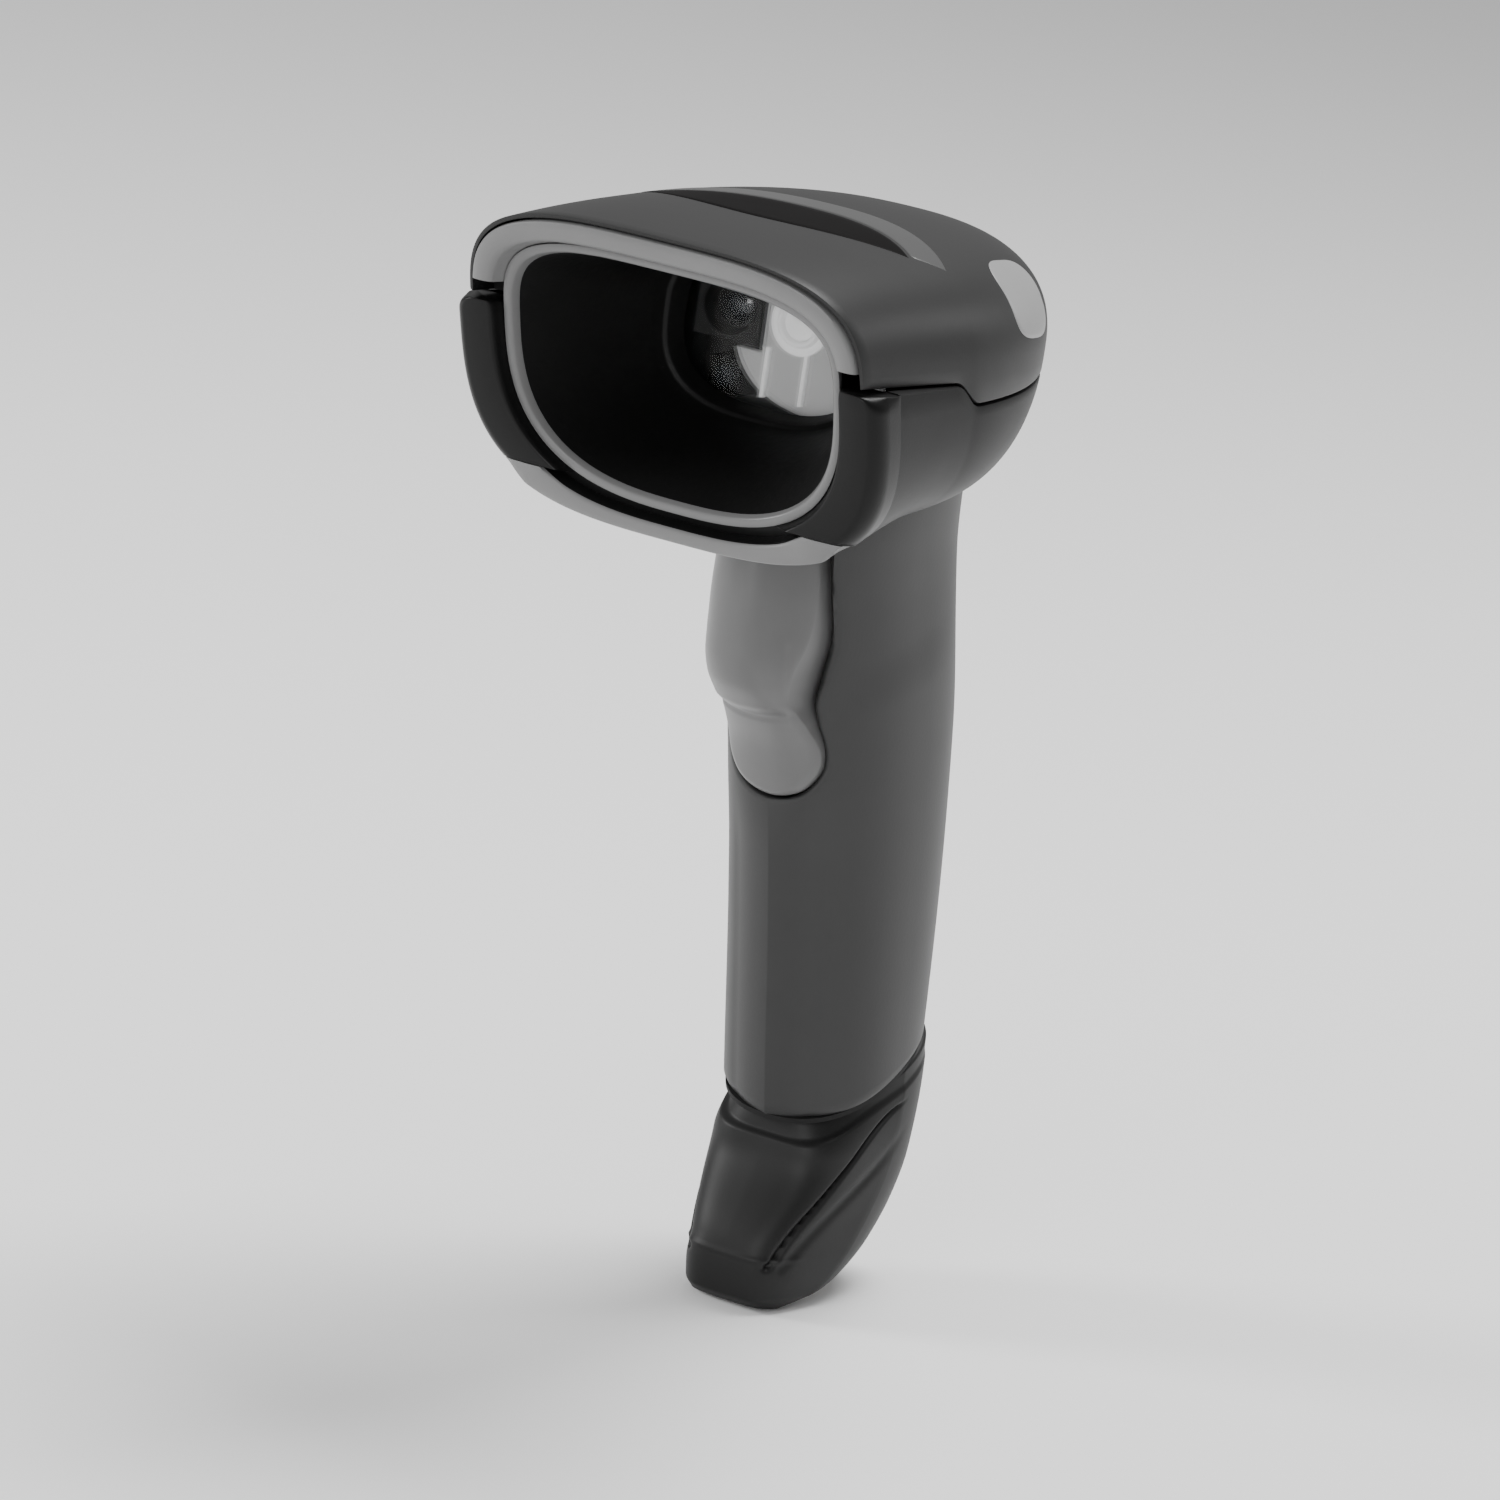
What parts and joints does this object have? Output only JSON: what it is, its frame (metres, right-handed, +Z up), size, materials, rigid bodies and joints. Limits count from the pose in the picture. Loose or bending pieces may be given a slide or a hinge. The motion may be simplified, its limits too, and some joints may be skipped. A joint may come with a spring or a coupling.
{
  "type": "handheld barcode scanner",
  "caption": "Pistol-grip barcode scanner with a flared nose, deep scan hood, sprung trigger and a cable foot.",
  "frame": {"origin": "centre of the grip, where the palm closes round the handle, on the mid-plane", "axes": "+Z up, the nose faces -Y, +X is the mid-plane normal"},
  "size_m": [0.066, 0.0985, 0.1613],
  "materials": {
    "barrel_black": "moulded black barrel",
    "board_green": "solder mask on glass epoxy",
    "chip_epoxy": "moulded epoxy",
    "clear_pmma": "clear acrylic",
    "coated_glass": "coated lens",
    "connector_pbt": "glass-filled PBT",
    "dark_abs": "moulded PC/ABS, satin dark grey",
    "diffuser_pc": "translucent polycarbonate",
    "flex_film": "polyimide film",
    "foot_abs": "moulded PC/ABS, satin black",
    "gold_contact": "gold flashed phosphor bronze",
    "handle_abs": "moulded PC/ABS, fine texture, dark grey",
    "hood_black": "textured black PC",
    "label_film": "printed polycarbonate film, brown-black",
    "led_dome": "phosphor under silicone",
    "light_grey_abs": "moulded ABS, satin mid grey",
    "plunger_pom": "moulded acetal",
    "seal_rubber": "thin TPE gasket",
    "smoked_pc": "smoked polycarbonate",
    "spring_steel": "drawn music wire",
    "steel_screw": "zinc plated steel",
    "switch_steel": "pressed steel switch can",
    "trigger_grey": "moulded ABS, satin light grey",
    "trim_grey": "moulded ABS, grey"
  },
  "bodies": {
    "scanner": {"top_cover": "dark_abs", "lower_housing": "dark_abs", "handle_shell": "handle_abs", "foot": "foot_abs", "foot_seal": "seal_rubber", "nose_rim": "light_grey_abs", "nose_lip": "light_grey_abs", "opening_trim": "trim_grey", "scan_hood": "hood_black", "label_plate": "label_film", "indicator_lens": "smoked_pc", "cover_screws": "steel_screw", "exit_window": "clear_pmma", "engine_chassis": "hood_black", "imager_shroud": "hood_black", "lens_barrel": "barrel_black", "imaging_lens": "coated_glass", "illumination_lens": "diffuser_pc", "engine_board": "board_green", "image_sensor": "chip_epoxy", "lamp_board": "board_green", "lamp_leds": "led_dome", "aimer_module": "barrel_black", "aimer_lens": "coated_glass", "engine_screws": "steel_screw", "main_board": "board_green", "main_chips": "chip_epoxy", "beeper": "chip_epoxy", "status_led": "led_dome", "light_guide": "diffuser_pc", "flex_cable": "flex_film", "flex_connectors": "connector_pbt", "trigger_axle": "steel_screw", "trigger_spring": "spring_steel", "switch_board": "board_green", "trigger_switch": "switch_steel", "grip_board": "board_green", "grip_chips": "chip_epoxy", "neck_cable": "flex_film", "cable_socket": "connector_pbt", "socket_contacts": "gold_contact", "socket_board": "board_green", "foot_cable": "flex_film", "foot_screw": "steel_screw"},
    "trigger": {"trigger": "trigger_grey"},
    "plunger": {"switch_plunger": "plunger_pom"}
  },
  "joints": [
    {"name": "trigger_pull", "type": "hinge", "parent": "scanner", "child": "trigger", "pos_m": [0, -0.024, 0.05], "axis": [1, 0, 0], "range_deg": [0, 5], "stiffness_Nm_per_rad": 0.25, "springref_deg": -8.59, "deforming": ["trigger_spring"]},
    {"name": "switch_press", "type": "slide", "parent": "scanner", "child": "plunger", "axis": [0, 1, 0], "range_m": [0, 0.0004], "stiffness_N_per_m": 0.2, "springref_m": -0.0001}
  ],
  "couplings": [
    {"joint": "switch_press", "follows": "trigger_pull", "m_per_rad": 0.004011}
  ]
}
